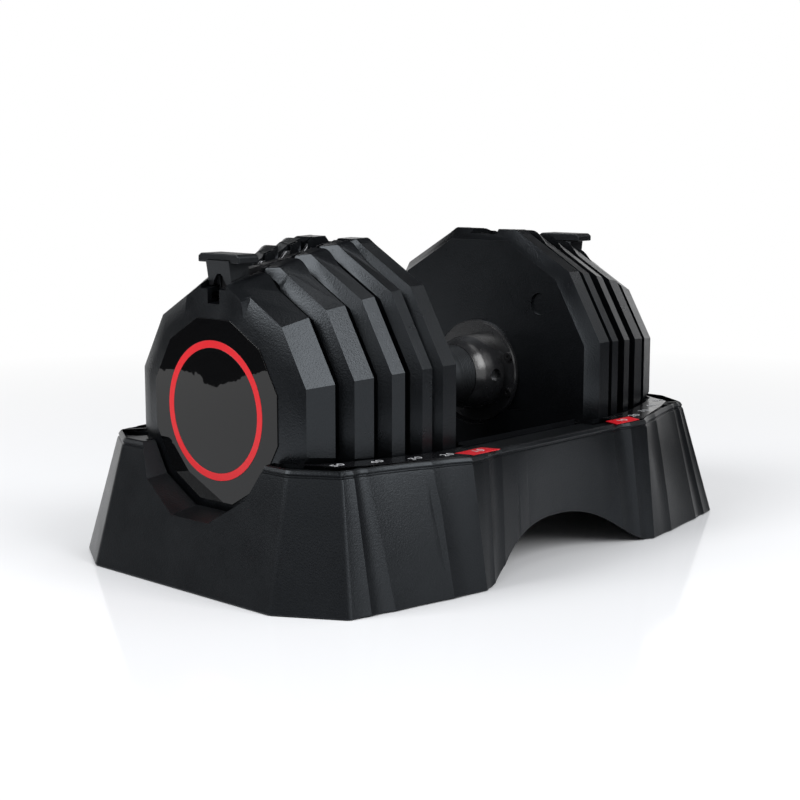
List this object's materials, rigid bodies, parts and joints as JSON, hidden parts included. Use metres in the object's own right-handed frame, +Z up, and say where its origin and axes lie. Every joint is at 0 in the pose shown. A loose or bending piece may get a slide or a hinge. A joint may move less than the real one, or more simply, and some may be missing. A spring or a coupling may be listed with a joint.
{
  "type": "adjustable dumbbell",
  "caption": "Adjustable dumbbell with stacked twelve-sided plates and sliding weight selectors, resting in a moulded storage tray.",
  "frame": {"origin": "on the floor under the middle of the handle, at the centre of the tray's outline", "axes": "+X along the handle, -Y towards the front of the tray where the label is, +Z up"},
  "size_m": [0.424, 0.2778, 0.2051],
  "materials": {
    "tray_plastic": "satin black moulding",
    "plate_plastic": "fine moulded grain, black",
    "slider_plastic": "satin black",
    "grip_plastic": "matt black",
    "gloss_black": "high gloss",
    "ring_red": "gloss red",
    "label_black": "printed film",
    "collar_metal": "satin black coating",
    "iron": "rough cast",
    "steel": "zinc plated",
    "foot_rubber": "matt"
  },
  "bodies": {
    "tray": {"base_tray": "tray_plastic", "cradle_left": "tray_plastic", "cradle_right": "tray_plastic", "cradle_screws": "steel", "rubber_feet": "foot_rubber", "label_left": "label_black", "label_right": "label_black"},
    "dumbbell": {"handle_shaft": "steel", "shaft_nuts": "steel", "grip_sleeve": "grip_plastic", "collar_set_screws": "steel", "collar_left": "collar_metal", "flange_screws_left": "steel", "inner_plate_left": "plate_plastic", "inner_core_left": "iron", "hanger_inner_left": "steel", "selector_rail_left": "steel", "rail_bolts_left": "steel", "collar_right": "collar_metal", "flange_screws_right": "steel", "inner_plate_right": "plate_plastic", "inner_core_right": "iron", "hanger_inner_right": "steel", "selector_rail_right": "steel", "rail_bolts_right": "steel"},
    "outer_weight_left": {"outer_plate_left": "plate_plastic", "outer_core_left": "iron", "badge_left": "gloss_black", "badge_ring_left": "ring_red"},
    "second_weight_left": {"second_plate_left": "plate_plastic", "second_core_left": "iron", "hanger_second_left": "steel"},
    "third_weight_left": {"third_plate_left": "plate_plastic", "third_core_left": "iron", "hanger_third_left": "steel"},
    "fourth_weight_left": {"fourth_plate_left": "plate_plastic", "fourth_core_left": "iron", "hanger_fourth_left": "steel"},
    "selector_left": {"slider_left": "slider_plastic", "slider_tab_left": "slider_plastic", "detent_spring_left": "steel"},
    "outer_weight_right": {"outer_plate_right": "plate_plastic", "outer_core_right": "iron", "badge_right": "gloss_black", "badge_ring_right": "ring_red"},
    "second_weight_right": {"second_plate_right": "plate_plastic", "second_core_right": "iron", "hanger_second_right": "steel"},
    "third_weight_right": {"third_plate_right": "plate_plastic", "third_core_right": "iron", "hanger_third_right": "steel"},
    "fourth_weight_right": {"fourth_plate_right": "plate_plastic", "fourth_core_right": "iron", "hanger_fourth_right": "steel"},
    "selector_right": {"slider_right": "slider_plastic", "slider_tab_right": "slider_plastic", "detent_spring_right": "steel"}
  },
  "joints": [
    {"name": "dumbbell_lift", "type": "slide", "parent": "tray", "child": "dumbbell", "axis": [0, 0, 1], "range_m": [0, 0.12]},
    {"name": "outer_weight_lift_left", "type": "slide", "parent": "tray", "child": "outer_weight_left", "axis": [0, 0, 1], "range_m": [0, 0.12]},
    {"name": "second_weight_lift_left", "type": "slide", "parent": "tray", "child": "second_weight_left", "axis": [0, 0, 1], "range_m": [0, 0.12]},
    {"name": "third_weight_lift_left", "type": "slide", "parent": "tray", "child": "third_weight_left", "axis": [0, 0, 1], "range_m": [0, 0.12]},
    {"name": "fourth_weight_lift_left", "type": "slide", "parent": "tray", "child": "fourth_weight_left", "axis": [0, 0, 1], "range_m": [0, 0.12]},
    {"name": "selector_slide_left", "type": "slide", "parent": "dumbbell", "child": "selector_left", "axis": [0.987, 0, 0.1607], "range_m": [0, 0.0859]},
    {"name": "outer_weight_lift_right", "type": "slide", "parent": "tray", "child": "outer_weight_right", "axis": [0, 0, 1], "range_m": [0, 0.12]},
    {"name": "second_weight_lift_right", "type": "slide", "parent": "tray", "child": "second_weight_right", "axis": [0, 0, 1], "range_m": [0, 0.12]},
    {"name": "third_weight_lift_right", "type": "slide", "parent": "tray", "child": "third_weight_right", "axis": [0, 0, 1], "range_m": [0, 0.12]},
    {"name": "fourth_weight_lift_right", "type": "slide", "parent": "tray", "child": "fourth_weight_right", "axis": [0, 0, 1], "range_m": [0, 0.12]},
    {"name": "selector_slide_right", "type": "slide", "parent": "dumbbell", "child": "selector_right", "axis": [-0.987, 0, 0.1607], "range_m": [0, 0.0859]}
  ],
  "couplings": [
    {"joint": "outer_weight_lift_left", "follows": "dumbbell_lift", "ratio": 1},
    {"joint": "second_weight_lift_left", "follows": "dumbbell_lift", "ratio": 1},
    {"joint": "third_weight_lift_left", "follows": "dumbbell_lift", "ratio": 1},
    {"joint": "fourth_weight_lift_left", "follows": "dumbbell_lift", "ratio": 1},
    {"joint": "outer_weight_lift_right", "follows": "dumbbell_lift", "ratio": 1},
    {"joint": "second_weight_lift_right", "follows": "dumbbell_lift", "ratio": 1},
    {"joint": "third_weight_lift_right", "follows": "dumbbell_lift", "ratio": 1},
    {"joint": "fourth_weight_lift_right", "follows": "dumbbell_lift", "ratio": 1}
  ]
}
